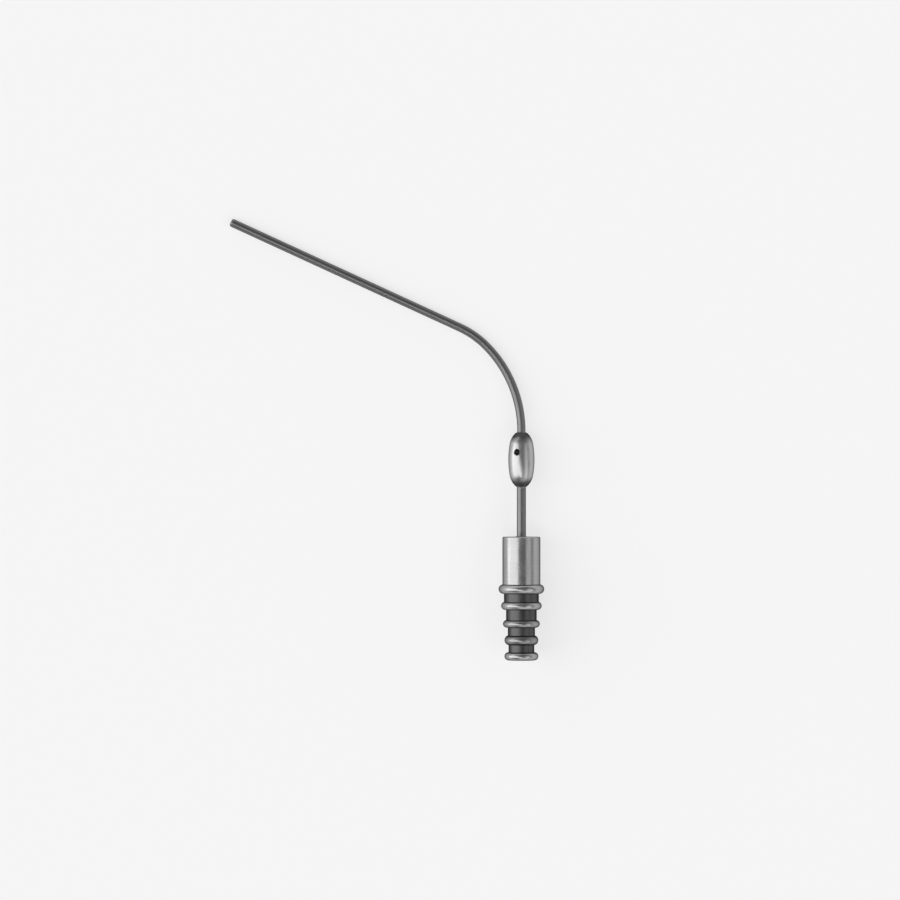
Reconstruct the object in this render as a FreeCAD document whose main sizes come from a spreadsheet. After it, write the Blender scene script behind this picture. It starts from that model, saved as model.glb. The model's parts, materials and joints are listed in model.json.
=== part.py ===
import FreeCAD, Part
import math
import os

import Sketcher
from FreeCAD import Placement, Rotation, Vector

# Angled ear suction tube with a finger vent, lying as it comes to rest.
# A thin working tube, bent to one side, runs into a vented bead. A short, thicker
# stem carries the bead on a turned hose connector with five rounded ridges.
# Every piece is modelled upright from its own lower end, with its axis on Z, and the
# whole instrument is then laid on the floor: on the largest ridge, the bead and the tip.

# Driving dimensions, in millimetres and degrees. Ridge 1 is at the hose end.
SIZES = {
    "barrel_diameter": 7.6,
    "barrel_length": 9.5,
    "barrel_edge_break": 0.15,
    "ridge_1_diameter": 6.82,
    "ridge_1_length": 1.62,
    "neck_1_diameter": 5.16,
    "neck_1_length": 1.4,
    "ridge_2_diameter": 6.78,
    "ridge_2_length": 2.02,
    "neck_2_diameter": 5.44,
    "neck_2_length": 1.5,
    "ridge_3_diameter": 7.39,
    "ridge_3_length": 1.52,
    "neck_3_diameter": 6.14,
    "neck_3_length": 2.04,
    "ridge_4_diameter": 8.14,
    "ridge_4_length": 1.62,
    "neck_4_diameter": 7.0,
    "neck_4_length": 1.58,
    "ridge_5_diameter": 9.16,
    "ridge_5_length": 1.9,
    "connector_bore": 3.4,
    "bore_mouth_break": 0.3,
    "drill_point_angle": 118.0,
    "connector_socket_depth": 5.0,
    "stem_diameter": 1.83,
    "stem_wall": 0.23,
    "stem_length": 10.1,
    "bead_diameter": 5.25,
    "bead_length": 10.7,
    "bead_side_radius": 18.2,
    "bead_side_length": 6.4,
    "bead_stem_socket": 3.0,
    "bead_tube_socket": 3.0,
    "vent_diameter": 1.2,
    "vent_mouth_break": 0.2,
    "vent_below_seat": 0.25,
    "vent_turn": 22.0,
    "tube_diameter": 1.65,
    "tube_wall": 0.23,
    "bend_above_solder": 0.1,
    "lower_bend_radius": 24.2,
    "lower_bend_angle": 44.5,
    "upper_bend_radius": 18.2,
    "upper_bend_angle": 20.8,
    "straight_length": 50.4,
    "tip_turn_in": 0.17,
    "braze_gap": 0.02,
    "solder_leg": 0.22,
    "solder_hollow_radius": 0.33,
}

# The connector's stretches along its axis, from the hose end up
RIDGES = ["ridge_1", "ridge_2", "ridge_3", "ridge_4", "ridge_5"]
NECKS = ["neck_1", "neck_2", "neck_3", "neck_4"]
STRETCHES = [name for pair in zip(RIDGES, [*NECKS, "barrel"]) for name in pair]

BENDS = ("lower", "upper")

# A sketch's constraints number its axes and its first borrowed edge down from minus one.
# The origin is on the horizontal axis, as its first point.
HORIZONTAL_AXIS, VERTICAL_AXIS, BORROWED = range(-1, -4, -1)
ORIGIN = HORIZONTAL_AXIS

# The points of an edge, numbered up from one
START, END, CENTRE = range(1, 4)

UPRIGHT = Vector(0, 0, 1)

# How often the floor is laid again under the instrument, until it stops moving
SETTLING_ROUNDS = 30

# A feature that changes its body by less than this volume has missed it
LEAST_CHANGE = 1e-6


def cell(name):
    """The expression that reads one driving dimension."""
    return "Sizes." + name


def add_up(names):
    """The expression for the sum of several driving dimensions."""
    return " + ".join(cell(name) for name in names) if names else "0"


def lengths_of(stretches):
    return add_up([stretch + "_length" for stretch in stretches])


CONNECTOR_TOP = lengths_of(STRETCHES)


def make_sheet(doc):
    """The sheet that holds the driving dimensions, one name a row."""
    sheet = doc.addObject("Spreadsheet::Sheet", "Sizes")
    for row, (name, value) in enumerate(SIZES.items(), start=1):
        sheet.set(f"A{row}", name)
        sheet.set(f"B{row}", str(value))
        sheet.setAlias(f"B{row}", name)
    doc.recompute()
    return sheet


doc = FreeCAD.newDocument("suction_tube")
sheet = make_sheet(doc)


def size(expression):
    """What an expression on the sheet comes to now, as a plain number."""
    return float(sheet.evalExpression(expression))


def new_body(label):
    body = doc.addObject("PartDesign::Body", label)
    body.Label = label
    return body


def new_sketch(body, name, role):
    """A sketch on one of the body's own origin planes."""
    plane = next(feature for feature in body.Origin.OriginFeatures if feature.Role == role)
    sketch = body.newObject("Sketcher::SketchObject", name)
    sketch.AttachmentSupport = [(plane, "")]
    sketch.MapMode = "FlatFace"
    return sketch


def drive(sketch, kind, places, expression):
    """A dimension of the sketch that follows an expression on the sheet."""
    number = sketch.addConstraint(Sketcher.Constraint(kind, *places, size(expression)))
    sketch.setExpression(f"Constraints[{number}]", expression)


def drive_angle(sketch, edge, expression):
    """The angle that an arc spans, in degrees on the sheet."""
    spanned = math.radians(size(expression))
    number = sketch.addConstraint(Sketcher.Constraint("Angle", edge, spanned))
    sketch.setExpression(f"Constraints[{number}]", expression)


def tie(sketch, edge, point, across, along):
    """Ties a point to its distances from the sketch's origin. None leaves it on that axis."""
    if across is None:
        sketch.addConstraint(Sketcher.Constraint("PointOnObject", edge, point, VERTICAL_AXIS))
    else:
        drive(sketch, "DistanceX", (ORIGIN, START, edge, point), across)
    if along is None:
        sketch.addConstraint(Sketcher.Constraint("PointOnObject", edge, point, HORIZONTAL_AXIS))
    else:
        drive(sketch, "DistanceY", (ORIGIN, START, edge, point), along)


def place_of(corner):
    """A corner's place in the sketch now."""
    across, along = corner
    return Vector(size(across or "0"), size(along or "0"), 0)


def join(sketch, edge, point, other, other_point):
    sketch.addConstraint(Sketcher.Constraint("Coincident", edge, point, other, other_point))


def draw_outline(sketch, corners):
    """A closed outline of straight edges, each corner tied to the sheet."""
    places = [place_of(corner) for corner in corners]
    edges = [
        sketch.addGeometry(Part.LineSegment(start, end))
        for start, end in zip(places, places[1:] + places[:1])
    ]
    for edge, following, corner in zip(edges, edges[1:] + edges[:1], corners):
        join(sketch, edge, END, following, START)
        tie(sketch, edge, START, *corner)
    return edges


def revolve(body, kind, name, sketch, axis=None):
    """A full turn of a profile, which adds to its body or cuts into it, as the kind says.

    It turns about the sketch's upright axis, or about a line given as a sketch and an edge."""
    feature = body.newObject("PartDesign::" + kind, name)
    feature.Profile = sketch
    feature.ReferenceAxis = axis or (sketch, ["V_Axis"])
    feature.Angle = 360.0
    return feature


def foot_of(stretch):
    """Where one of the connector's stretches begins above the hose end."""
    return lengths_of(STRETCHES[: STRETCHES.index(stretch)])


def middle_of(stretch):
    return f"{foot_of(stretch)} + {cell(stretch + '_length')} / 2"


def add_connector_core(body):
    """The connector's necks and barrel, each neck running from ridge middle to ridge middle."""
    corners = [(None, middle_of(RIDGES[0]))]
    for neck, below, above in zip(NECKS, RIDGES, RIDGES[1:]):
        radius = cell(neck + "_diameter") + " / 2"
        corners.append((radius, middle_of(below)))
        corners.append((radius, middle_of(above)))
    barrel = cell("barrel_diameter") + " / 2"
    edge_break = cell("barrel_edge_break")
    corners.append((barrel, middle_of(RIDGES[-1])))
    corners.append((barrel, f"{CONNECTOR_TOP} - {edge_break}"))
    corners.append((f"{barrel} - {edge_break}", CONNECTOR_TOP))
    corners.append((None, CONNECTOR_TOP))
    sketch = new_sketch(body, "core_profile", "XZ_Plane")
    draw_outline(sketch, corners)
    revolve(body, "Revolution", "core", sketch)


def add_ridge(body, ridge):
    """A disc with a fully rounded rim, which the hose is pushed over."""
    half = cell(ridge + "_length") + " / 2"
    foot = foot_of(ridge)
    crest = cell(ridge + "_diameter") + " / 2"
    rim_centre = (f"{crest} - {half}", f"{foot} + {half}")
    low = size(foot)
    high = low + 2 * size(half)
    flat = size(rim_centre[0])
    sketch = new_sketch(body, ridge + "_profile", "XZ_Plane")
    under = sketch.addGeometry(Part.LineSegment(Vector(0, low, 0), Vector(flat, low, 0)))
    circle = Part.Circle(place_of(rim_centre), Vector(0, 0, 1), size(half))
    rim = sketch.addGeometry(Part.ArcOfCircle(circle, -math.pi / 2, math.pi / 2))
    over = sketch.addGeometry(Part.LineSegment(Vector(flat, high, 0), Vector(0, high, 0)))
    spine = sketch.addGeometry(Part.LineSegment(Vector(0, high, 0), Vector(0, low, 0)))
    sketch.addConstraint(Sketcher.Constraint("Tangent", under, END, rim, START))
    sketch.addConstraint(Sketcher.Constraint("Tangent", rim, END, over, START))
    join(sketch, over, END, spine, START)
    join(sketch, spine, END, under, START)
    sketch.addConstraint(Sketcher.Constraint("Horizontal", under))
    sketch.addConstraint(Sketcher.Constraint("Horizontal", over))
    for point in (START, END):
        sketch.addConstraint(Sketcher.Constraint("PointOnObject", spine, point, VERTICAL_AXIS))
    drive(sketch, "Radius", (rim,), half)
    tie(sketch, rim, CENTRE, *rim_centre)
    revolve(body, "Revolution", ridge, sketch)


def cut_connector_bore(body):
    """The flow bore drilled from the hose end, up to the counterbored seat of the stem."""
    bore = cell("connector_bore") + " / 2"
    mouth = cell("bore_mouth_break")
    seat = f"{CONNECTOR_TOP} - {cell('connector_socket_depth')}"
    passage = f"({cell('stem_diameter')} / 2 - {cell('stem_wall')})"
    socket = f"({cell('stem_diameter')} / 2 + {cell('braze_gap')})"
    point = f"({bore} - {passage}) / tan({cell('drill_point_angle')} * 1deg / 2)"
    corners = [
        (None, None),
        (f"{bore} + {mouth}", None),
        (bore, mouth),
        (bore, f"{seat} - {point}"),
        (passage, seat),
        (socket, seat),
        (socket, CONNECTOR_TOP),
        (None, CONNECTOR_TOP),
    ]
    sketch = new_sketch(body, "bore_profile", "XZ_Plane")
    draw_outline(sketch, corners)
    revolve(body, "Groove", "bore", sketch)


def make_connector():
    body = new_body("hose_connector")
    add_connector_core(body)
    for ridge in RIDGES:
        add_ridge(body, ridge)
    cut_connector_bore(body)
    return body


def draw_ring(sketch, outer, inner):
    """Two circles about the origin, from expressions for their diameters."""
    for diameter in (outer, inner):
        circle = Part.Circle(Vector(), Vector(0, 0, 1), size(diameter) / 2)
        edge = sketch.addGeometry(circle)
        join(sketch, edge, CENTRE, ORIGIN, START)
        drive(sketch, "Diameter", (edge,), diameter)


def tube_section(body, name, diameter, wall):
    sketch = new_sketch(body, name, "XY_Plane")
    draw_ring(sketch, cell(diameter), f"{cell(diameter)} - 2 * {cell(wall)}")
    return sketch


def make_stem():
    """The straight tube from its seat in the connector to its seat in the bead."""
    body = new_body("stem_tube")
    section = tube_section(body, "stem_section", "stem_diameter", "stem_wall")
    pad = body.newObject("PartDesign::Pad", "stem_length")
    pad.Profile = section
    lengths = ["connector_socket_depth", "stem_length", "bead_stem_socket"]
    pad.setExpression("Length", add_up(lengths))
    return body


# The bead's flat ends are as wide as the solder ring of the thicker tube
BEAD_LAND = f"max({cell('stem_diameter')}; {cell('tube_diameter')}) / 2 + {cell('solder_leg')}"

# Height of the working tube's seat above the bead's lower end
TUBE_SEAT = f"{cell('bead_length')} - {cell('bead_tube_socket')}"


def tangent_corner(centre, radius, touch, corner):
    """Centre and radius of the arc that leaves a circle's inside at touch and ends at corner."""
    inward = (centre - touch).normalize()
    to_corner = corner - touch
    corner_radius = to_corner.Length ** 2 / (2 * to_corner.dot(inward))
    return touch + inward * corner_radius, corner_radius


def draw_bead_profile(sketch):
    """Half section of the olive: a long side arc, a tangent shoulder at each end, flat ends."""
    half = size(cell("bead_length")) / 2
    radius = size(cell("bead_side_radius"))
    centre = Vector(size(cell("bead_diameter")) / 2 - radius, half, 0)
    reach = size(cell("bead_side_length")) / 2
    touch = centre + Vector(math.sqrt(radius ** 2 - reach ** 2), reach, 0)
    land = Vector(size(BEAD_LAND), 2 * half, 0)
    shoulder_centre, shoulder_radius = tangent_corner(centre, radius, touch, land)

    def angle(point, about):
        return math.atan2(point.y - about.y, point.x - about.x)

    def mirrored(point):
        return Vector(point.x, 2 * half - point.y, 0)

    side_circle = Part.Circle(centre, Vector(0, 0, 1), radius)
    side_angle = angle(touch, centre)
    upper_circle = Part.Circle(shoulder_centre, Vector(0, 0, 1), shoulder_radius)
    lower_circle = Part.Circle(mirrored(shoulder_centre), Vector(0, 0, 1), shoulder_radius)
    land_angle = angle(land, shoulder_centre)
    base = sketch.addGeometry(Part.LineSegment(Vector(), mirrored(land)))
    lower = sketch.addGeometry(Part.ArcOfCircle(lower_circle, -land_angle, -side_angle))
    side = sketch.addGeometry(Part.ArcOfCircle(side_circle, -side_angle, side_angle))
    upper = sketch.addGeometry(Part.ArcOfCircle(upper_circle, side_angle, land_angle))
    top = sketch.addGeometry(Part.LineSegment(land, Vector(0, 2 * half, 0)))
    spine = sketch.addGeometry(Part.LineSegment(Vector(0, 2 * half, 0), Vector()))

    join(sketch, base, END, lower, START)
    sketch.addConstraint(Sketcher.Constraint("Tangent", lower, END, side, START))
    sketch.addConstraint(Sketcher.Constraint("Tangent", side, END, upper, START))
    join(sketch, upper, END, top, START)
    join(sketch, top, END, spine, START)
    join(sketch, spine, END, base, START)
    tie(sketch, base, START, None, None)
    tie(sketch, base, END, BEAD_LAND, None)
    tie(sketch, top, START, BEAD_LAND, cell("bead_length"))
    tie(sketch, top, END, None, cell("bead_length"))
    drive(sketch, "Radius", (side,), cell("bead_side_radius"))
    middle = cell("bead_length") + " / 2"
    tie(sketch, side, CENTRE, f"{cell('bead_diameter')} / 2 - {cell('bead_side_radius')}", middle)
    for point, sign in ((START, "-"), (END, "+")):
        station = f"{middle} {sign} {cell('bead_side_length')} / 2"
        drive(sketch, "DistanceY", (ORIGIN, START, side, point), station)


def cut_bead_passage(body):
    """A socket from each end for the two tubes, and the narrower chamber between their seats."""
    stem_socket = f"{cell('stem_diameter')} / 2 + {cell('braze_gap')}"
    tube_socket = f"{cell('tube_diameter')} / 2 + {cell('braze_gap')}"
    chamber = f"{cell('tube_diameter')} / 2 - {cell('tube_wall')}"
    stem_seat = cell("bead_stem_socket")
    top = cell("bead_length")
    corners = [
        (None, None),
        (stem_socket, None),
        (stem_socket, stem_seat),
        (chamber, stem_seat),
        (chamber, TUBE_SEAT),
        (tube_socket, TUBE_SEAT),
        (tube_socket, top),
        (None, top),
    ]
    sketch = new_sketch(body, "passage_profile", "XZ_Plane")
    draw_outline(sketch, corners)
    revolve(body, "Groove", "passage", sketch)


def cut_vent(body):
    """The finger vent: a cross hole from the chamber out to one side, with a broken mouth.

    It opens into the chamber just below the working tube's seat. The profile lies in
    the YZ plane, and the vent's own axis runs along -Y."""
    radius = f"{cell('vent_diameter')} / 2"
    crest = f"{cell('bead_diameter')} / 2"
    mouth = cell("vent_mouth_break")
    station = f"{TUBE_SEAT} - {cell('vent_below_seat')} - {radius}"
    corners = [
        (None, station),
        (None, f"{station} + {radius}"),
        (f"-({crest} - {mouth})", f"{station} + {radius}"),
        (f"-({crest} + {mouth})", f"{station} + {radius} + 2 * {mouth}"),
        (f"-({crest} + {mouth})", station),
    ]
    sketch = new_sketch(body, "vent_profile", "YZ_Plane")
    edges = draw_outline(sketch, corners)
    line = Part.LineSegment(place_of(corners[-1]), place_of(corners[0]))
    axis = sketch.addGeometry(line, True)
    join(sketch, axis, START, edges[-1], START)
    join(sketch, axis, END, edges[0], START)
    revolve(body, "Groove", "vent", sketch, (sketch, ["Axis0"]))


def make_bead():
    body = new_body("vent_bead")
    sketch = new_sketch(body, "bead_profile", "XZ_Plane")
    draw_bead_profile(sketch)
    revolve(body, "Revolution", "olive", sketch)
    cut_bead_passage(body)
    cut_vent(body)
    return body


# The working tube stays straight through its socket and its solder, and then bends
TUBE_FOOT = add_up(["bead_tube_socket", "solder_leg", "bend_above_solder"])

# At the tip the wall is turned in by a quarter circle, which is this large outside
TIP_ROUNDING = add_up(["tip_turn_in", "tube_wall"])

# The long straight as far as the tip's rounding
SWEPT_STRAIGHT = f"{cell('straight_length')} - ({TIP_ROUNDING})"


def outward(turned):
    """The direction away from a bend's centre, once the tube has turned so far."""
    return Vector(math.cos(turned), math.sin(turned), 0)


def tube_course():
    """The centreline in its own plane, where it first heads along the second axis.

    Gives each bend as its centre, radius, first and last angle, then the place and the
    direction in which the long straight begins."""
    place = Vector(0, size(TUBE_FOOT), 0)
    turned = 0.0
    arcs = []
    for bend in BENDS:
        radius = size(cell(f"{bend}_bend_radius"))
        angle = math.radians(size(cell(f"{bend}_bend_angle")))
        centre = place - outward(turned) * radius
        arcs.append((centre, radius, turned, turned + angle))
        turned += angle
        place = centre + outward(turned) * radius
    return arcs, place, Vector(-math.sin(turned), math.cos(turned), 0)


def draw_tube_path(sketch):
    """The tube's straight foot, its two tangent bends and its long straight."""
    arcs, place, heading = tube_course()
    foot_end = Vector(0, size(TUBE_FOOT), 0)
    edges = [sketch.addGeometry(Part.LineSegment(Vector(), foot_end))]
    for centre, radius, first, last in arcs:
        circle = Part.Circle(centre, Vector(0, 0, 1), radius)
        edges.append(sketch.addGeometry(Part.ArcOfCircle(circle, first, last)))
    straight_end = place + heading * size(SWEPT_STRAIGHT)
    edges.append(sketch.addGeometry(Part.LineSegment(place, straight_end)))

    for edge, following in zip(edges, edges[1:]):
        sketch.addConstraint(Sketcher.Constraint("Tangent", edge, END, following, START))
    tie(sketch, edges[0], START, None, None)
    tie(sketch, edges[0], END, None, TUBE_FOOT)
    for edge, bend in zip(edges[1:], BENDS):
        drive(sketch, "Radius", (edge,), cell(f"{bend}_bend_radius"))
        drive_angle(sketch, edge, cell(f"{bend}_bend_angle"))
    drive(sketch, "Distance", (edges[-1],), SWEPT_STRAIGHT)
    return edges


def draw_tip(sketch):
    """Half section of the tip, where the wall is turned in towards the borrowed axis.

    It stands on the end of the swept straight, and its two arcs have one centre."""
    _, place, heading = tube_course()
    aside = Vector(heading.y, -heading.x, 0)
    outside = size(cell("tube_diameter")) / 2
    radii = [size(TIP_ROUNDING), size(cell("tip_turn_in"))]
    centre = place + heading * size(SWEPT_STRAIGHT) + aside * (outside - radii[0])
    first = math.atan2(aside.y, aside.x)
    circles = [Part.Circle(centre, Vector(0, 0, 1), radius) for radius in radii]
    outer, inner = [
        sketch.addGeometry(Part.ArcOfCircle(circle, first, first + math.pi / 2))
        for circle in circles
    ]
    seat_ends = [centre + aside * radius for radius in radii]
    mouth_ends = [centre + heading * radius for radius in radii]
    seat = sketch.addGeometry(Part.LineSegment(*seat_ends))
    mouth = sketch.addGeometry(Part.LineSegment(*mouth_ends))
    for line, arc_point in ((seat, START), (mouth, END)):
        join(sketch, line, START, outer, arc_point)
        join(sketch, line, END, inner, arc_point)
        sketch.addConstraint(Sketcher.Constraint("PointOnObject", outer, CENTRE, line))
    join(sketch, inner, CENTRE, outer, CENTRE)
    sketch.addConstraint(Sketcher.Constraint("Perpendicular", seat, BORROWED))
    sketch.addConstraint(Sketcher.Constraint("Parallel", mouth, BORROWED))
    sketch.addConstraint(Sketcher.Constraint("PointOnObject", BORROWED, END, seat))
    drive(sketch, "Radius", (outer,), TIP_ROUNDING)
    drive(sketch, "Radius", (inner,), cell("tip_turn_in"))
    drive(sketch, "Distance", (seat, START, BORROWED), cell("tube_diameter") + " / 2")


def make_working_tube():
    """The thin tube, swept along its bent centreline and turned in at its tip."""
    body = new_body("working_tube")
    section = tube_section(body, "tube_section", "tube_diameter", "tube_wall")
    path = new_sketch(body, "tube_path", "XZ_Plane")
    edges = draw_tube_path(path)
    doc.recompute()
    names = [f"Edge{number}" for number in range(1, len(edges) + 1)]
    sweep = body.newObject("PartDesign::AdditivePipe", "tube_sweep")
    sweep.Profile = section
    sweep.Spine = (path, names)
    tip = new_sketch(body, "tip_profile", "XZ_Plane")
    tip.addExternal(path.Name, names[-1])
    draw_tip(tip)
    doc.recompute()
    revolve(body, "Revolution", "tip", tip, (path, [names[-1]]))
    return body


def make_solder_ring(label, diameter):
    """The small hollow fillet of solder round a tube, where it leaves a flat face."""
    body = new_body(label)
    bore = cell(diameter) + " / 2"
    leg = cell("solder_leg")
    root, foot, top = (bore, None), (f"{bore} + {leg}", None), (bore, leg)
    sketch = new_sketch(body, "fillet_profile", "XZ_Plane")
    under = sketch.addGeometry(Part.LineSegment(place_of(root), place_of(foot)))
    radius = size(cell("solder_hollow_radius"))
    chord = place_of(foot) - place_of(top)
    middle = (place_of(foot) + place_of(top)) / 2
    away = (middle - place_of(root)).normalize()
    centre = middle + away * math.sqrt(radius ** 2 - (chord.Length / 2) ** 2)
    half_angle = math.asin(chord.Length / 2 / radius)
    back = math.atan2(-away.y, -away.x)
    circle = Part.Circle(centre, Vector(0, 0, 1), radius)
    hollow = sketch.addGeometry(Part.ArcOfCircle(circle, back - half_angle, back + half_angle))
    inner = sketch.addGeometry(Part.LineSegment(place_of(top), place_of(root)))
    join(sketch, under, END, hollow, END)
    join(sketch, hollow, START, inner, START)
    join(sketch, inner, END, under, START)
    tie(sketch, under, START, *root)
    tie(sketch, under, END, *foot)
    tie(sketch, inner, START, *top)
    drive(sketch, "Radius", (hollow,), cell("solder_hollow_radius"))
    revolve(body, "Revolution", "fillet", sketch)
    return body


class Round:
    """A circle of the instrument that may touch the floor, with the rounding of its rim."""

    def __init__(self, centre, axis, crest, rim):
        self.centre = centre
        self.axis = axis
        self.crest = crest
        self.rim = rim

    def furthest(self, way):
        """Its furthest point in a direction."""
        across = way - self.axis * self.axis.dot(way)
        if across.Length > 0:
            across.normalize()
        return self.centre + across * (self.crest - self.rim) + way * self.rim


def round_of_ridge(ridge):
    middle = Vector(0, 0, size(middle_of(ridge)))
    crest = size(cell(ridge + "_diameter")) / 2
    return Round(middle, UPRIGHT, crest, size(cell(ridge + "_length")) / 2)


def round_of_barrel(top):
    """The barrel's sharp shoulder below its broken edge."""
    middle = Vector(0, 0, top - size(cell("barrel_edge_break")))
    return Round(middle, UPRIGHT, size(cell("barrel_diameter")) / 2, 0)


def round_of_bead(foot):
    middle = Vector(0, 0, foot + size(cell("bead_length")) / 2)
    crest = size(cell("bead_diameter")) / 2
    return Round(middle, UPRIGHT, crest, size(cell("bead_side_radius")))


def round_of_tube(foot, centre, heading, rim):
    """A round of the working tube, from its course. The tube bends towards -X."""
    upright_centre = Vector(centre.x, 0, foot + centre.y)
    axis = Vector(heading.x, 0, heading.y)
    return Round(upright_centre, axis, size(cell("tube_diameter")) / 2, rim)


def rounds_of_bends(foot):
    """The working tube's rounds where each bend begins and ends."""
    arcs, _, _ = tube_course()
    return [
        round_of_tube(foot, centre + outward(turned) * radius, outward(turned + math.pi / 2), 0)
        for centre, radius, first, last in arcs
        for turned in (first, last)
    ]


def round_of_tip(foot):
    """The working tube's rounded rim at the tip."""
    _, place, heading = tube_course()
    centre = place + heading * size(SWEPT_STRAIGHT)
    return round_of_tube(foot, centre, heading, size(TIP_ROUNDING))


def resting_pose(connector_rounds, middle_rounds, tip):
    """Lays the upright instrument on its side, with the bend in the plane that is seen.

    It rests on the connector's lowest round, the lowest of the bead and the bends, and
    the tip. The floor is laid through their lowest points again and again, until it
    stops turning. The connector's axis then heads along +Y, the floor is at z = 0 and
    the origin is under the middle of the instrument's box."""
    down = Vector(0, 1, 0)
    supports = [connector_rounds, middle_rounds, [tip]]
    for _ in range(SETTLING_ROUNDS):
        first, second, third = [
            max((one.furthest(down) for one in group), key=down.dot) for group in supports
        ]
        down = (third - first).cross(second - first).normalize()
    heading = UPRIGHT - down * down.z
    heading.normalize()
    sideways = heading.cross(-down)
    turn = Rotation(sideways, heading, -down, "ZYX").inverted()

    def reach(way):
        return max(one.furthest(way).dot(way) for group in supports for one in group)

    middle_x = (reach(sideways) - reach(-sideways)) / 2
    middle_y = (reach(heading) - reach(-heading)) / 2
    return Placement(Vector(-middle_x, -middle_y, reach(down)), turn)


# Where each piece's lower end sits on the upright axis
connector_top = size(CONNECTOR_TOP)
stem_foot = connector_top - size(cell("connector_socket_depth"))
bead_foot = connector_top + size(cell("stem_length"))
bead_top = bead_foot + size(cell("bead_length"))
tube_foot = bead_top - size(cell("bead_tube_socket"))

connector_rounds = [round_of_ridge(ridge) for ridge in RIDGES]
connector_rounds.append(round_of_barrel(connector_top))
middle_rounds = [round_of_bead(bead_foot), *rounds_of_bends(tube_foot)]
pose = resting_pose(connector_rounds, middle_rounds, round_of_tip(tube_foot))

as_modelled = Rotation()
vent_turn = Rotation(UPRIGHT, -size(cell("vent_turn")))
upside_down = Rotation(Vector(1, 0, 0), 180)

# Each piece, the station of its foot and how it is turned there
stations = [
    (make_connector(), 0, as_modelled),
    (make_stem(), stem_foot, as_modelled),
    (make_bead(), bead_foot, vent_turn),
    (make_working_tube(), tube_foot, as_modelled),
    (make_solder_ring("connector_solder", "stem_diameter"), connector_top, as_modelled),
    (make_solder_ring("stem_solder", "stem_diameter"), bead_foot, upside_down),
    (make_solder_ring("tube_solder", "tube_diameter"), bead_top, as_modelled),
]
pieces = []
for piece, station, turn in stations:
    piece.Placement = pose.multiply(Placement(Vector(0, 0, station), turn))
    pieces.append(piece)
doc.recompute()


def missed(feature):
    """Whether a feature left the shape that it adds to or cuts as it was."""
    base = getattr(feature, "BaseFeature", None)
    return base is not None and abs(feature.Shape.Volume - base.Shape.Volume) < LEAST_CHANGE


failed = [item.Label for item in doc.Objects if {"Invalid", "Error"} & set(item.State)]
for piece in pieces:
    failed.extend(feature.Label for feature in piece.Group if missed(feature))
    if piece.Shape.isNull() or not piece.Shape.isValid() or len(piece.Shape.Solids) != 1:
        failed.append(piece.Label)
if failed:
    raise RuntimeError("these objects failed: " + ", ".join(failed))

os.makedirs("parts", exist_ok=True)
for piece in pieces:
    piece.Shape.exportStep(f"parts/{piece.Label}.step")
    print(piece.Label, "volume", round(piece.Shape.Volume, 3))
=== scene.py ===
import json
import math

import bpy
from mathutils import Matrix, Vector


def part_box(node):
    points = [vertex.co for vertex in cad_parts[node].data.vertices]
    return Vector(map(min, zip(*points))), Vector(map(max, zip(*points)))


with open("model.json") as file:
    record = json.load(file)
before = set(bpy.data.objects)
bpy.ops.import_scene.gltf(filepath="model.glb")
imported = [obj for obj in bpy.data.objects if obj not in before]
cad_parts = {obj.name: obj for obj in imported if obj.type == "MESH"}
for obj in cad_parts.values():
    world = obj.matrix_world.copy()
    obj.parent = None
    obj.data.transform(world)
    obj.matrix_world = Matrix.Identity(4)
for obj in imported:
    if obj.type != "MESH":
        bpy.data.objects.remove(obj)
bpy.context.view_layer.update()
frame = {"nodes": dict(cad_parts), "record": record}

# Angled ear suction tube of stainless steel, lying on a white table and seen square on
# to the plane of its bend. All lengths are in metres.

MM = 0.001
PIXEL = 0.2 * MM

# The picture's frame and the middle of the hose end in it, in pixels
PICTURE_SIZE = 900
PICTURE_MIDDLE = PICTURE_SIZE / 2
HOSE_END_X = 521.4
HOSE_END_Y = 660.3

LENS_MM = 200.0
SENSOR_MM = 36.0
LAMP_DISTANCE = 30.0

# The table top from its middle to its edge, its own grey, and how much of it, where it is
# seen, is white whatever light falls on it
FLOOR_HALF = 12.0
FLOOR_GREY = 0.95
PLAIN_WHITE = 0.65

# The room behind the lamps: the height on a unit sphere where its walls end and its
# ceiling begins, and how bright each is
WALL_TOP = 0.08
CEILING_EDGE = 0.40
WALL_TONE = 0.9
CEILING_TONE = 0.2

# Steel seen edge on is darker than the same steel seen square on
RIM_TINT = 0.15

# The connector's ridges and grooves widen from the hose end to the barrel. At the hose
# end the grooves lie inside the first radius and the crests outside the second.
GROOVE_RADIUS = 2.8 * MM
CREST_RADIUS = 3.3 * MM
RIDGED_LENGTH = 15.2 * MM
CREST_RISE = 0.95 * MM

# The bead's ends are darkened by heat tint from soldering and by painted shade. This far off its
# middle the dark begins and is full, less the share of the unevenness that the smears have there.
HEAT_AND_SHADE_BEGINS = 3.9 * MM
HEAT_AND_SHADE_ENDS = 5.2 * MM
HEAT_AND_SHADE_UNEVENNESS = 1.2 * MM

# Most values of a noise lie between these two
NOISE_LOW = 0.3
NOISE_HIGH = 0.7

# Noise cells to a metre: across the picture, along the connector, out of the bend's plane
FINE_RINGS = (300, 16000, 300)
WIDE_RINGS = (60, 2600, 60)
HAIRLINES = (1500, 9000, 1500)
DRAW_MARKS = (40, 40, 22000)

# Noise cells to a metre, alike in every direction
CONNECTOR_HANDLING = 260.0
BEAD_SMEARS = 700.0
TUBE_HANDLING = 300.0
TUBE_GRAIN = 9000.0
SOLDER_TONE = 1500.0
SOLDER_SKIN = 3500.0

# Scuffs on the connector: noise cells to a radian round it and to a metre along it, and
# the noise values where a scuff begins and is full
SCUFFS_TO_A_RADIAN = 14.0
SCUFFS_TO_A_METRE = 120.0
SCUFF_BEGINS = 0.55
SCUFF_FULL = 0.75

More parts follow.
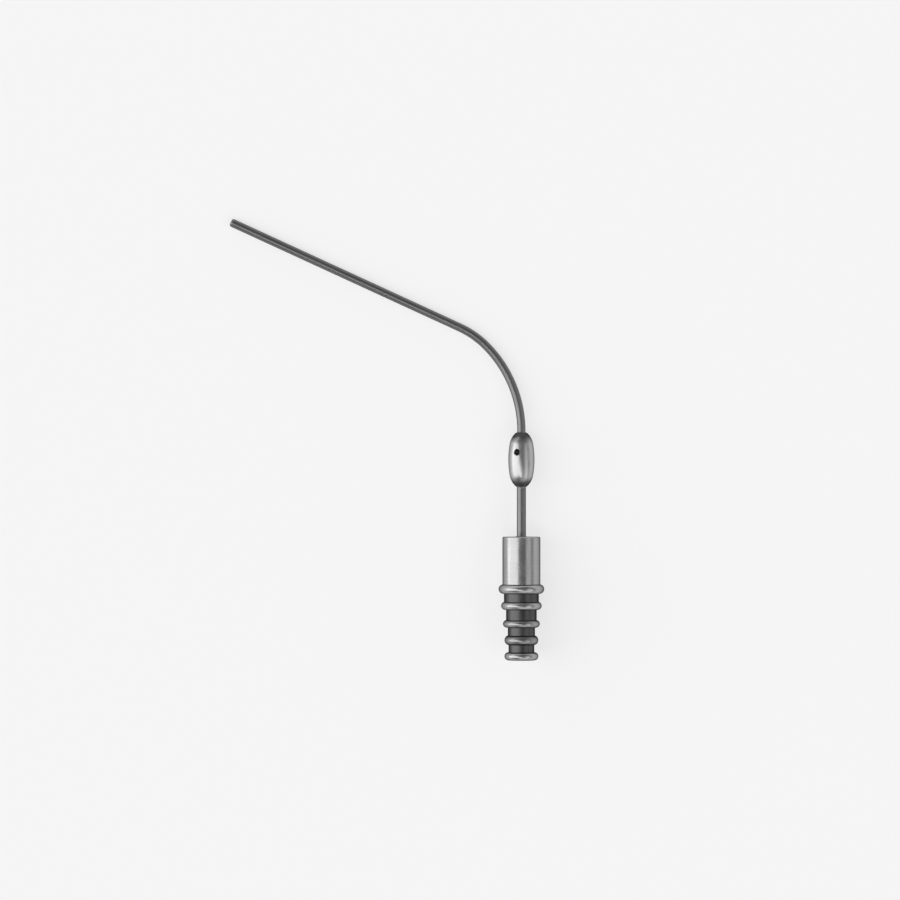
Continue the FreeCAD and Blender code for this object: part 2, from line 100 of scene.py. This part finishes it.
# Heights of the marks on each surface
FINE_RING_HEIGHT = 0.0035 * MM
WIDE_RING_HEIGHT = 0.003 * MM
HAIRLINE_HEIGHT = 0.0008 * MM
DRAW_MARK_HEIGHT = 0.0012 * MM
TUBE_GRAIN_HEIGHT = 0.0008 * MM
SOLDER_SKIN_HEIGHT = 0.01 * MM

# Greys of the metals, each from dark to light, and how warm the solder is
CREST_GREYS = (0.36, 0.44)
SCUFF_GREYS = (0.27, 0.33)
# The grooves' greys are painted shade, far darker than the crests' own steel
GROOVE_SHADE_GREYS = (0.08, 0.12)
BEAD_GREYS = (0.44, 0.50)
# The bead's darkened ends: heat tint, deepened to near black as painted shade
HEATED_AND_SHADED_GREYS = (0.07, 0.11)
TUBE_GREYS = (0.17, 0.24)
SOLDER_GREYS = (0.20, 0.28)
SOLDER_WARMTH = 0.07

# Roughness of the metals, each from low to high, how much less the crests and the barrel
# have than the grooves, and how much heat adds to the bead's
GROOVE_ROUGHNESS = (0.32, 0.40)
CREST_SMOOTHING = 0.10
BEAD_ROUGHNESS = (0.27, 0.35)
HEAT_ROUGHENING = 0.12
TUBE_ROUGHNESS = (0.33, 0.41)
SOLDER_ROUGHNESS = (0.28, 0.40)

# The instrument's own directions, from the two mounts that lie on its axes
mounts = {mount["name"]: mount for mount in frame["record"]["mounts"]}
hose_end = Vector(mounts["hose_spigot"]["pos_m"])
up = -Vector(mounts["hose_spigot"]["axis"]).normalized()
tip_heading = Vector(mounts["tip_guard"]["axis"]).normalized()
toward = up.cross(tip_heading).normalized()
right = up.cross(toward).normalized()
bend_plane = Matrix((right, up, toward)).transposed().to_4x4()
bend_plane.translation = hose_end


def add_camera():
    """A long lens, square on to the bend's plane, with the picture's own framing."""
    data = bpy.data.cameras.new("camera")
    data.lens = LENS_MM
    data.sensor_width = SENSOR_MM
    camera = bpy.data.objects.new("camera", data)
    bpy.context.scene.collection.objects.link(camera)
    target = hose_end + right * (PICTURE_MIDDLE - HOSE_END_X) * PIXEL
    target += up * (HOSE_END_Y - PICTURE_MIDDLE) * PIXEL
    distance = PICTURE_SIZE * PIXEL * LENS_MM / SENSOR_MM
    pose = bend_plane.copy()
    pose.translation = target + toward * distance
    camera.matrix_world = pose
    bpy.context.scene.camera = camera


def softbox(name, compass, lean, spread, reach, radiance):
    """An oval soft lamp that faces the instrument.

    Seen in the picture, compass is its direction in degrees anticlockwise from the
    right, and lean its angle from the line of sight. Spread is the angle that it covers
    along the compass direction, and reach the angle across it. Radiance is how bright
    its face is, whatever its size."""
    width = 2 * LAMP_DISTANCE * math.tan(math.radians(spread / 2))
    length = 2 * LAMP_DISTANCE * math.tan(math.radians(reach / 2))
    data = bpy.data.lights.new(name, "AREA")
    data.shape = "ELLIPSE"
    data.size = width
    data.size_y = length
    area = math.pi * width * length / 4
    data.energy = radiance * math.pi * area
    lamp = bpy.data.objects.new(name, data)
    lamp.visible_camera = False
    bpy.context.scene.collection.objects.link(lamp)
    around = Matrix.Rotation(math.radians(compass), 4, "Z")
    over = Matrix.Rotation(math.radians(lean), 4, "Y")
    lamp.matrix_world = around @ over @ Matrix.Translation((0, 0, LAMP_DISTANCE))


class Graph:
    """Short ways to add and join shader nodes."""

    def __init__(self, tree):
        self.tree = tree

    def add(self, kind, **settings):
        node = self.tree.nodes.new("ShaderNode" + kind)
        for key, value in settings.items():
            setattr(node, key, value)
        return node

    def join(self, source, target):
        self.tree.links.new(source, target)

    def reckon(self, operation, *terms):
        """One step of arithmetic on sockets and numbers."""
        node = self.add("Math", operation=operation)
        for term, socket in zip(terms, node.inputs):
            if isinstance(term, (int, float)):
                socket.default_value = term
            else:
                self.join(term, socket)
        return node.outputs[0]

    def instrument_place(self):
        """A surface point in the bend's plane: across, along the connector, out of the plane."""
        back = bend_plane.inverted()
        mapping = self.add("Mapping", vector_type="POINT")
        mapping.inputs["Location"].default_value = back.translation
        mapping.inputs["Rotation"].default_value = back.to_euler()
        self.join(self.add("TexCoord").outputs["Object"], mapping.inputs["Vector"])
        return mapping.outputs["Vector"]

    def parts_of(self, place):
        """The three numbers of a place."""
        node = self.add("SeparateXYZ")
        self.join(place, node.inputs["Vector"])
        return node.outputs["X"], node.outputs["Y"], node.outputs["Z"]

    def place_from(self, *parts):
        """A place from its first numbers, with nought for each that isn't given."""
        node = self.add("CombineXYZ")
        for part, socket in zip(parts, node.inputs):
            self.join(part, socket)
        return node.outputs["Vector"]

    def stretched(self, place, scale):
        node = self.add("VectorMath", operation="MULTIPLY")
        node.inputs[1].default_value = scale
        self.join(place, node.inputs[0])
        return node.outputs["Vector"]

    def length(self, place):
        node = self.add("VectorMath", operation="LENGTH")
        self.join(place, node.inputs[0])
        return node.outputs["Value"]

    def noise(self, place, scale=1.0, detail=2.0, roughness=0.5):
        node = self.add("TexNoise")
        node.inputs["Scale"].default_value = scale
        node.inputs["Detail"].default_value = detail
        node.inputs["Roughness"].default_value = roughness
        self.join(place, node.inputs["Vector"])
        return node.outputs["Fac"]

    def spread(self, value, low, high, from_low=NOISE_LOW, from_high=NOISE_HIGH):
        """A value moved from one range to another, and held inside it."""
        node = self.add("MapRange")
        node.inputs["From Min"].default_value = from_low
        node.inputs["From Max"].default_value = from_high
        node.inputs["To Min"].default_value = low
        node.inputs["To Max"].default_value = high
        self.join(value, node.inputs["Value"])
        return node.outputs["Result"]

    def grey(self, value, dark, light, warmth=0.0):
        """A grey between two depths. Warmth is the share of its blue that is taken out, with
        a third as much of its green."""
        node = self.add("Mix", data_type="RGBA")
        for socket, depth in (("A", dark), ("B", light)):
            tint = (depth, depth * (1 - warmth / 3), depth * (1 - warmth), 1)
            node.inputs[socket].default_value = tint
        self.join(value, node.inputs["Factor"])
        return node.outputs["Result"]

    def blend(self, value, first, second):
        node = self.add("Mix", data_type="RGBA")
        self.join(value, node.inputs["Factor"])
        self.join(first, node.inputs["A"])
        self.join(second, node.inputs["B"])
        return node.outputs["Result"]

    def bump(self, height, distance, normal=None):
        node = self.add("Bump")
        node.inputs["Distance"].default_value = distance
        self.join(height, node.inputs["Height"])
        if normal is not None:
            self.join(normal, node.inputs["Normal"])
        return node.outputs["Normal"]

    def metal(self, colour, roughness, normal):
        shader = self.add("BsdfPrincipled")
        shader.inputs["Metallic"].default_value = 1.0
        shader.inputs["Specular Tint"].default_value = (RIM_TINT, RIM_TINT, RIM_TINT, 1)
        self.join(colour, shader.inputs["Base Color"])
        self.join(roughness, shader.inputs["Roughness"])
        self.join(normal, shader.inputs["Normal"])
        output = self.add("OutputMaterial")
        self.join(shader.outputs["BSDF"], output.inputs["Surface"])


def new_material(name):
    material = bpy.data.materials.new(name)
    material.use_nodes = True
    material.node_tree.nodes.clear()
    return material, Graph(material.node_tree)


def crest_share(graph, place):
    """One on the connector's crests and barrel, and nought down in its grooves."""
    _, along, _ = graph.parts_of(place)
    radius = graph.length(graph.stretched(place, (1, 0, 1)))
    rise = graph.spread(along, 0.0, CREST_RISE, 0.0, RIDGED_LENGTH)
    over_groove = graph.reckon("SUBTRACT", radius, rise)
    crest = graph.spread(over_groove, 0.0, 1.0, GROOVE_RADIUS, CREST_RADIUS)
    barrel = graph.reckon("GREATER_THAN", along, RIDGED_LENGTH)
    return graph.reckon("MAXIMUM", crest, barrel)


def scuff_share(graph, place):
    """One where the connector is scuffed, in long marks, and nought elsewhere."""
    across, along, out = graph.parts_of(place)
    turned = graph.reckon("MULTIPLY", graph.reckon("ARCTAN2", across, out), SCUFFS_TO_A_RADIAN)
    lengthways = graph.reckon("MULTIPLY", along, SCUFFS_TO_A_METRE)
    scuffs = graph.noise(graph.place_from(turned, lengthways), detail=4.0, roughness=0.65)
    return graph.spread(scuffs, 0.0, 1.0, SCUFF_BEGINS, SCUFF_FULL)


def turned_steel():
    """Lathe-turned steel: fine rings round the connector's axis, bright crests that hoses have
    scuffed lengthways, and duller metal down in the grooves, which painted shade darkens there."""
    material, graph = new_material("turned_steel")
    place = graph.instrument_place()
    fine_rings = graph.noise(graph.stretched(place, FINE_RINGS), detail=3.0)
    wide_rings = graph.noise(graph.stretched(place, WIDE_RINGS))
    handling = graph.noise(place, CONNECTOR_HANDLING, detail=3.0)
    crest = crest_share(graph, place)
    scuffs = scuff_share(graph, place)
    clean = graph.grey(wide_rings, *CREST_GREYS)
    scuffed = graph.grey(wide_rings, *SCUFF_GREYS)
    # Painted shade: down in the grooves the metal gets a far darker grey than on the crests
    groove_shade = graph.grey(handling, *GROOVE_SHADE_GREYS)
    colour = graph.blend(crest, groove_shade, graph.blend(scuffs, clean, scuffed))
    smoothed = graph.reckon("MULTIPLY", crest, CREST_SMOOTHING)
    roughness = graph.reckon("SUBTRACT", graph.spread(handling, *GROOVE_ROUGHNESS), smoothed)
    normal = graph.bump(fine_rings, FINE_RING_HEIGHT)
    normal = graph.bump(wide_rings, WIDE_RING_HEIGHT, normal)
    graph.metal(colour, roughness, normal)
    return material


def bead_middle():
    """How far up the connector's axis the bead's middle is from the hose end."""
    lowest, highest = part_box("vent_bead")
    return (bend_plane.inverted() @ ((Vector(lowest) + Vector(highest)) / 2)).y


def polished_steel():
    """Bright polished steel of the bead, with hairline polishing marks and soft smears, darkened
    towards both ends by heat tint from soldering and by painted shade."""
    material, graph = new_material("polished_steel")
    place = graph.instrument_place()
    _, along, _ = graph.parts_of(place)
    hairlines = graph.noise(graph.stretched(place, HAIRLINES))
    smears = graph.noise(place, BEAD_SMEARS, detail=4.0)
    off_middle = graph.reckon("ABSOLUTE", graph.reckon("SUBTRACT", along, bead_middle()))
    uneven = graph.reckon("ADD", off_middle, graph.reckon("MULTIPLY", smears, HEAT_AND_SHADE_UNEVENNESS))
    # Painted shade, partly heat tint: the bead's grey darkens towards both ends
    heat_tint_and_shade = graph.spread(uneven, 0.0, 1.0, HEAT_AND_SHADE_BEGINS, HEAT_AND_SHADE_ENDS)
    colour = graph.blend(heat_tint_and_shade, graph.grey(smears, *BEAD_GREYS), graph.grey(smears, *HEATED_AND_SHADED_GREYS))
    roughened = graph.reckon("MULTIPLY", heat_tint_and_shade, HEAT_ROUGHENING)
    roughness = graph.reckon("ADD", graph.spread(smears, *BEAD_ROUGHNESS), roughened)
    graph.metal(colour, roughness, graph.bump(hairlines, HAIRLINE_HEIGHT))
    return material


def drawn_steel():
    """Satin drawn tube. Its draw marks stay at one height over the bend's plane, so they
    follow the bend."""
    material, graph = new_material("drawn_steel")
    place = graph.instrument_place()
    marks = graph.noise(graph.stretched(place, DRAW_MARKS))
    grain = graph.noise(place, TUBE_GRAIN)
    handling = graph.noise(place, TUBE_HANDLING, detail=3.0)
    normal = graph.bump(marks, DRAW_MARK_HEIGHT)
    normal = graph.bump(grain, TUBE_GRAIN_HEIGHT, normal)
    graph.metal(graph.grey(marks, *TUBE_GREYS), graph.spread(handling, *TUBE_ROUGHNESS), normal)
    return material


def silver_solder():
    """Silver solder, a little warmer than the steel, with a slightly uneven skin."""
    material, graph = new_material("silver_solder")
    place = graph.instrument_place()
    skin = graph.noise(place, SOLDER_SKIN)
    tone = graph.noise(place, SOLDER_TONE, detail=3.0)
    colour = graph.grey(tone, *SOLDER_GREYS, warmth=SOLDER_WARMTH)
    roughness = graph.spread(tone, *SOLDER_ROUGHNESS)
    graph.metal(colour, roughness, graph.bump(skin, SOLDER_SKIN_HEIGHT))
    return material


def add_floor():
    """The white table top, wide enough to reach the horizon of every view. Where it is
    seen or mirrored a share of it is plain white, so the shadow on it stays light."""
    mesh = bpy.data.meshes.new("floor")
    corners = [(x * FLOOR_HALF, y * FLOOR_HALF, 0) for x, y in ((-1, -1), (1, -1), (1, 1), (-1, 1))]
    mesh.from_pydata(corners, [], [(0, 1, 2, 3)])
    floor = bpy.data.objects.new("floor", mesh)
    bpy.context.scene.collection.objects.link(floor)
    material, graph = new_material("floor")
    lit = graph.add("BsdfDiffuse")
    lit.inputs["Color"].default_value = (FLOOR_GREY, FLOOR_GREY, FLOOR_GREY, 1)
    white = graph.add("Emission")
    rays = graph.add("LightPath").outputs
    seen = graph.reckon("MAXIMUM", rays["Is Glossy Ray"], rays["Is Transmission Ray"])
    seen = graph.reckon("MAXIMUM", rays["Is Camera Ray"], seen)
    mix = graph.add("MixShader")
    graph.join(graph.reckon("MULTIPLY", seen, PLAIN_WHITE), mix.inputs["Fac"])
    graph.join(lit.outputs["BSDF"], mix.inputs[1])
    graph.join(white.outputs["Emission"], mix.inputs[2])
    output = graph.add("OutputMaterial")
    graph.join(mix.outputs["Shader"], output.inputs["Surface"])
    mesh.materials.append(material)


def add_world():
    """A room with pale walls and a grey ceiling, the same to the eye and to the metal."""
    world = bpy.data.worlds.new("room")
    world.use_nodes = True
    world.node_tree.nodes.clear()
    graph = Graph(world.node_tree)
    _, _, height = graph.parts_of(graph.add("TexCoord").outputs["Generated"])
    ceiling = graph.spread(height, 0.0, 1.0, WALL_TOP, CEILING_EDGE)
    background = graph.add("Background")
    graph.join(graph.grey(ceiling, WALL_TONE, CEILING_TONE), background.inputs["Color"])
    output = graph.add("OutputWorld")
    graph.join(background.outputs["Background"], output.inputs["Surface"])
    bpy.context.scene.world = world


FINISHES = {
    turned_steel: ["hose_connector"],
    polished_steel: ["vent_bead"],
    drawn_steel: ["stem_tube", "working_tube"],
    silver_solder: ["connector_solder", "stem_solder", "tube_solder"],
}

add_camera()
softbox("key", compass=180, lean=54, spread=72, reach=52, radiance=1.7)
softbox("fill", compass=0, lean=46, spread=34, reach=50, radiance=0.65)
softbox("low_right", compass=300, lean=52, spread=34, reach=76, radiance=1.0)
softbox("above_the_tube", compass=245, lean=18, spread=18, reach=34, radiance=2.2)
softbox("far_side", compass=122, lean=72, spread=22, reach=76, radiance=0.9)
add_floor()
add_world()

for finish, nodes in FINISHES.items():
    material = finish()
    for node in nodes:
        mesh = frame["nodes"][node].data
        mesh.materials.clear()
        mesh.materials.append(material)

bpy.context.scene.view_settings.view_transform = "Standard"
